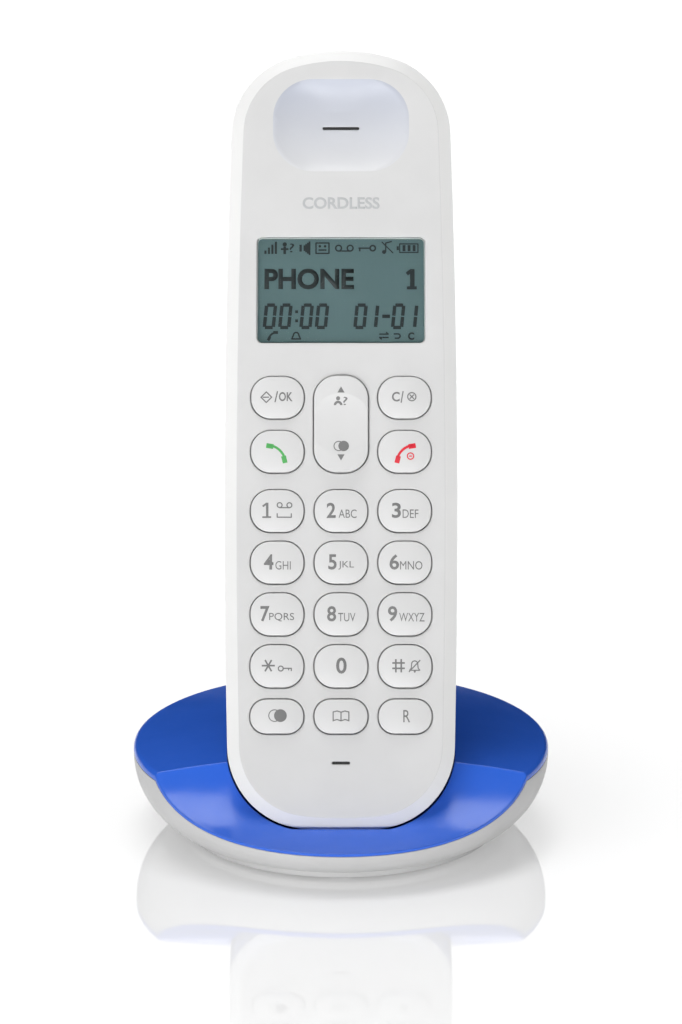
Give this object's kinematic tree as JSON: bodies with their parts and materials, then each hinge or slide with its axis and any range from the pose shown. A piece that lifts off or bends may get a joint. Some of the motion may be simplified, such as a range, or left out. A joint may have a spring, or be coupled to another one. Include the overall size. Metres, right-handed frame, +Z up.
{
  "type": "cordless telephone",
  "caption": "Slim cordless handset with keypad and display, leaning back in a small round charging base with a hollowed front.",
  "frame": {"origin": "centre of the base's round foot on the table", "axes": "+Z up; the keypad side faces -Y, which is the front; +X is to the right for someone standing behind the telephone's front and looking along +Y"},
  "size_m": [0.088, 0.0877, 0.1606],
  "materials": {
    "white_shell": "glossy white",
    "rear_shell": "satin white",
    "keys": "satin white",
    "window": "clear",
    "liquid_crystal": "grey green",
    "frame_plastic": "matt",
    "silicone": "matt",
    "circuit_board": "solder mask",
    "tin_plate": "satin",
    "contact_metal": "bright",
    "dark_metal": "black",
    "foam": "foam",
    "cell_jacket": "printed film",
    "screw_steel": "zinc",
    "blue_shell": "glossy blue",
    "base_white": "glossy white",
    "socket_plastic": "black",
    "switch_plastic": "black",
    "button_blue": "satin blue",
    "foot_rubber": "pale grey rubber",
    "label": "blank plate"
  },
  "bodies": {
    "base": {"base_bottom": "base_white", "base_cover": "blue_shell", "base_board": "circuit_board", "page_switch": "switch_plastic", "line_socket": "socket_plastic", "power_socket": "socket_plastic", "contact_block": "switch_plastic", "base_screws": "screw_steel", "rubber_feet": "foot_rubber", "base_shield": "tin_plate", "base_antenna": "tin_plate", "base_label": "label"},
    "handset": {"front_shell": "white_shell", "rear_shell": "rear_shell", "display_lens": "window", "lcd_glass": "liquid_crystal", "lcd_frame": "frame_plastic", "keypad_mat": "silicone", "dome_contacts": "tin_plate", "handset_board": "circuit_board", "handset_shield": "tin_plate", "handset_antenna": "tin_plate", "speaker_gasket": "foam", "earpiece_speaker": "dark_metal", "microphone": "tin_plate", "microphone_boot": "silicone", "ringer_speaker": "dark_metal", "battery_cell_left": "cell_jacket", "battery_cell_right": "cell_jacket", "battery_contacts": "contact_metal", "charge_pads": "contact_metal", "handset_screws": "screw_steel"},
    "battery_hatch": {"battery_cover": "rear_shell"},
    "nav_rocker": {"key_nav": "keys"},
    "paging_button": {"page_button": "button_blue"},
    "contact_left": {"base_contact_left": "contact_metal"},
    "contact_right": {"base_contact_right": "contact_metal"},
    "key_ok_button": {"key_ok": "keys"},
    "key_clear_button": {"key_clear": "keys"},
    "key_call_button": {"key_call": "keys"},
    "key_end_button": {"key_end": "keys"},
    "key_1_button": {"key_1": "keys"},
    "key_2_button": {"key_2": "keys"},
    "key_3_button": {"key_3": "keys"},
    "key_4_button": {"key_4": "keys"},
    "key_5_button": {"key_5": "keys"},
    "key_6_button": {"key_6": "keys"},
    "key_7_button": {"key_7": "keys"},
    "key_8_button": {"key_8": "keys"},
    "key_9_button": {"key_9": "keys"},
    "key_star_button": {"key_star": "keys"},
    "key_0_button": {"key_0": "keys"},
    "key_hash_button": {"key_hash": "keys"},
    "key_redial_button": {"key_redial": "keys"},
    "key_book_button": {"key_book": "keys"},
    "key_recall_button": {"key_recall": "keys"}
  },
  "joints": [
    {"name": "handset_lift", "type": "slide", "parent": "base", "child": "handset", "axis": [0, 0.3746, 0.9272], "range_m": [0, 0.07]},
    {"name": "battery_hatch_off", "type": "slide", "parent": "handset", "child": "battery_hatch", "axis": [0, 0.9272, -0.3746], "range_m": [0, 0.015]},
    {"name": "nav_rock", "type": "hinge", "parent": "handset", "child": "nav_rocker", "pos_m": [0, 0.00085, 0.08675], "axis": [1, 0, 0], "range_deg": [-2.5, 2.5], "stiffness_Nm_per_rad": 0.15},
    {"name": "press_ok", "type": "slide", "parent": "handset", "child": "key_ok_button", "axis": [0, 0.9272, -0.3746], "range_m": [0, 0.0008], "stiffness_N_per_m": 1000, "springref_m": -0.0005},
    {"name": "press_clear", "type": "slide", "parent": "handset", "child": "key_clear_button", "axis": [0, 0.9272, -0.3746], "range_m": [0, 0.0008], "stiffness_N_per_m": 1000, "springref_m": -0.0005},
    {"name": "press_call", "type": "slide", "parent": "handset", "child": "key_call_button", "axis": [0, 0.9272, -0.3746], "range_m": [0, 0.0008], "stiffness_N_per_m": 1000, "springref_m": -0.0005},
    {"name": "press_end", "type": "slide", "parent": "handset", "child": "key_end_button", "axis": [0, 0.9272, -0.3746], "range_m": [0, 0.0008], "stiffness_N_per_m": 1000, "springref_m": -0.0005},
    {"name": "press_1", "type": "slide", "parent": "handset", "child": "key_1_button", "axis": [0, 0.9272, -0.3746], "range_m": [0, 0.0008], "stiffness_N_per_m": 1000, "springref_m": -0.0005},
    {"name": "press_2", "type": "slide", "parent": "handset", "child": "key_2_button", "axis": [0, 0.9272, -0.3746], "range_m": [0, 0.0008], "stiffness_N_per_m": 1000, "springref_m": -0.0005},
    {"name": "press_3", "type": "slide", "parent": "handset", "child": "key_3_button", "axis": [0, 0.9272, -0.3746], "range_m": [0, 0.0008], "stiffness_N_per_m": 1000, "springref_m": -0.0005},
    {"name": "press_4", "type": "slide", "parent": "handset", "child": "key_4_button", "axis": [0, 0.9272, -0.3746], "range_m": [0, 0.0008], "stiffness_N_per_m": 1000, "springref_m": -0.0005},
    {"name": "press_5", "type": "slide", "parent": "handset", "child": "key_5_button", "axis": [0, 0.9272, -0.3746], "range_m": [0, 0.0008], "stiffness_N_per_m": 1000, "springref_m": -0.0005},
    {"name": "press_6", "type": "slide", "parent": "handset", "child": "key_6_button", "axis": [0, 0.9272, -0.3746], "range_m": [0, 0.0008], "stiffness_N_per_m": 1000, "springref_m": -0.0005},
    {"name": "press_7", "type": "slide", "parent": "handset", "child": "key_7_button", "axis": [0, 0.9272, -0.3746], "range_m": [0, 0.0008], "stiffness_N_per_m": 1000, "springref_m": -0.0005},
    {"name": "press_8", "type": "slide", "parent": "handset", "child": "key_8_button", "axis": [0, 0.9272, -0.3746], "range_m": [0, 0.0008], "stiffness_N_per_m": 1000, "springref_m": -0.0005},
    {"name": "press_9", "type": "slide", "parent": "handset", "child": "key_9_button", "axis": [0, 0.9272, -0.3746], "range_m": [0, 0.0008], "stiffness_N_per_m": 1000, "springref_m": -0.0005},
    {"name": "press_star", "type": "slide", "parent": "handset", "child": "key_star_button", "axis": [0, 0.9272, -0.3746], "range_m": [0, 0.0008], "stiffness_N_per_m": 1000, "springref_m": -0.0005},
    {"name": "press_0", "type": "slide", "parent": "handset", "child": "key_0_button", "axis": [0, 0.9272, -0.3746], "range_m": [0, 0.0008], "stiffness_N_per_m": 1000, "springref_m": -0.0005},
    {"name": "press_hash", "type": "slide", "parent": "handset", "child": "key_hash_button", "axis": [0, 0.9272, -0.3746], "range_m": [0, 0.0008], "stiffness_N_per_m": 1000, "springref_m": -0.0005},
    {"name": "press_redial", "type": "slide", "parent": "handset", "child": "key_redial_button", "axis": [0, 0.9272, -0.3746], "range_m": [0, 0.0008], "stiffness_N_per_m": 1000, "springref_m": -0.0005},
    {"name": "press_book", "type": "slide", "parent": "handset", "child": "key_book_button", "axis": [0, 0.9272, -0.3746], "range_m": [0, 0.0008], "stiffness_N_per_m": 1000, "springref_m": -0.0005},
    {"name": "press_recall", "type": "slide", "parent": "handset", "child": "key_recall_button", "axis": [0, 0.9272, -0.3746], "range_m": [0, 0.0008], "stiffness_N_per_m": 1000, "springref_m": -0.0005},
    {"name": "page_press", "type": "slide", "parent": "base", "child": "paging_button", "axis": [0, 0, -1], "range_m": [0, 0.0008], "stiffness_N_per_m": 1000, "springref_m": -0.0005},
    {"name": "contact_press_left", "type": "slide", "parent": "base", "child": "contact_left", "axis": [0, 0.9272, -0.3746], "range_m": [0, 0.0008], "stiffness_N_per_m": 400, "springref_m": -0.0005},
    {"name": "contact_press_right", "type": "slide", "parent": "base", "child": "contact_right", "axis": [0, 0.9272, -0.3746], "range_m": [0, 0.0008], "stiffness_N_per_m": 400, "springref_m": -0.0005}
  ]
}
